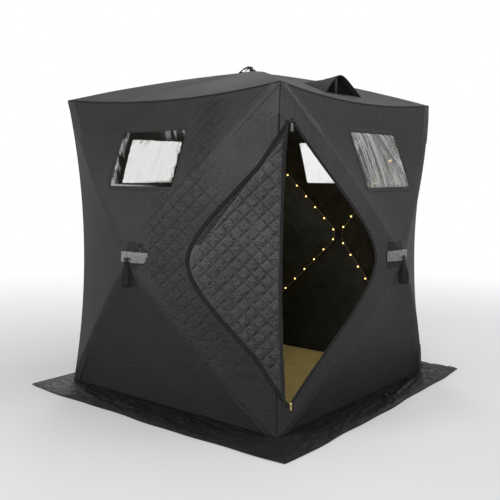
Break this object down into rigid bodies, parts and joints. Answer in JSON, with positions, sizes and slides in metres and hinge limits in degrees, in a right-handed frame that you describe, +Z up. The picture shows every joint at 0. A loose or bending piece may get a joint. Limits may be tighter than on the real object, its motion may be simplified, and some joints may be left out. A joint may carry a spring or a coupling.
{
  "type": "ice fishing hut",
  "caption": "Pop-up ice fishing hut of black quilted fabric on a hub frame, with an open corner door, clear windows and a snow skirt.",
  "frame": {"origin": "middle of the square base, on the ground", "axes": "+Z up; -Y out through the front wall, the left-hand wall in the picture; +X out through the right wall, the one with the open half of the corner door"},
  "size_m": [2.419, 2.419, 2.2333],
  "materials": {
    "wall_fabric": "quilted black polyester",
    "roof_fabric": "quilted black polyester, lit from above",
    "door_fabric": "black polyester with diamond quilting",
    "skirt_fabric": "thin creased black polyester",
    "zip": "black coil zip",
    "zip_tab": "grey webbing pull",
    "clear_vinyl": "clear wrinkled vinyl",
    "mat": "tan foam",
    "hub_plastic": "black moulded plastic",
    "pole": "black fibreglass",
    "reflective_patch": "silver grey reflective cloth",
    "webbing": "black webbing",
    "light_wire": "black flex",
    "bulb": "warm lit bulb"
  },
  "bodies": {
    "root": {"front_wall_top": "wall_fabric", "front_wall_bottom": "wall_fabric", "front_wall_side": "wall_fabric", "front_door_side_upper": "wall_fabric", "front_door_side_lower": "wall_fabric", "right_wall_top": "wall_fabric", "right_wall_bottom": "wall_fabric", "right_wall_side": "wall_fabric", "right_door_side_upper": "wall_fabric", "right_door_side_lower": "wall_fabric", "back_wall_top": "wall_fabric", "back_wall_bottom": "wall_fabric", "back_wall_sides": "wall_fabric", "left_wall_top": "wall_fabric", "left_wall_bottom": "wall_fabric", "left_wall_sides": "wall_fabric", "roof_front": "roof_fabric", "roof_right": "roof_fabric", "roof_back": "roof_fabric", "roof_left": "roof_fabric", "door_panel": "door_fabric", "door_panel_folded": "door_fabric", "door_zip": "zip", "door_zip_tab": "zip_tab", "front_window": "clear_vinyl", "right_window": "clear_vinyl", "back_window": "clear_vinyl", "left_window": "clear_vinyl", "snow_skirt": "skirt_fabric", "floor_mat": "mat", "wall_hubs": "hub_plastic", "roof_hub": "hub_plastic", "front_poles": "pole", "right_poles": "pole", "back_poles": "pole", "left_poles": "pole", "roof_poles": "pole", "hub_patches": "reflective_patch", "hub_rings": "hub_plastic", "wall_pull_straps": "webbing", "roof_pull_strap": "webbing", "roof_vent_hoods": "roof_fabric", "roof_vent_struts": "pole", "string_light_wire": "light_wire", "string_light_bulbs": "bulb"}
  },
  "joints": []
}
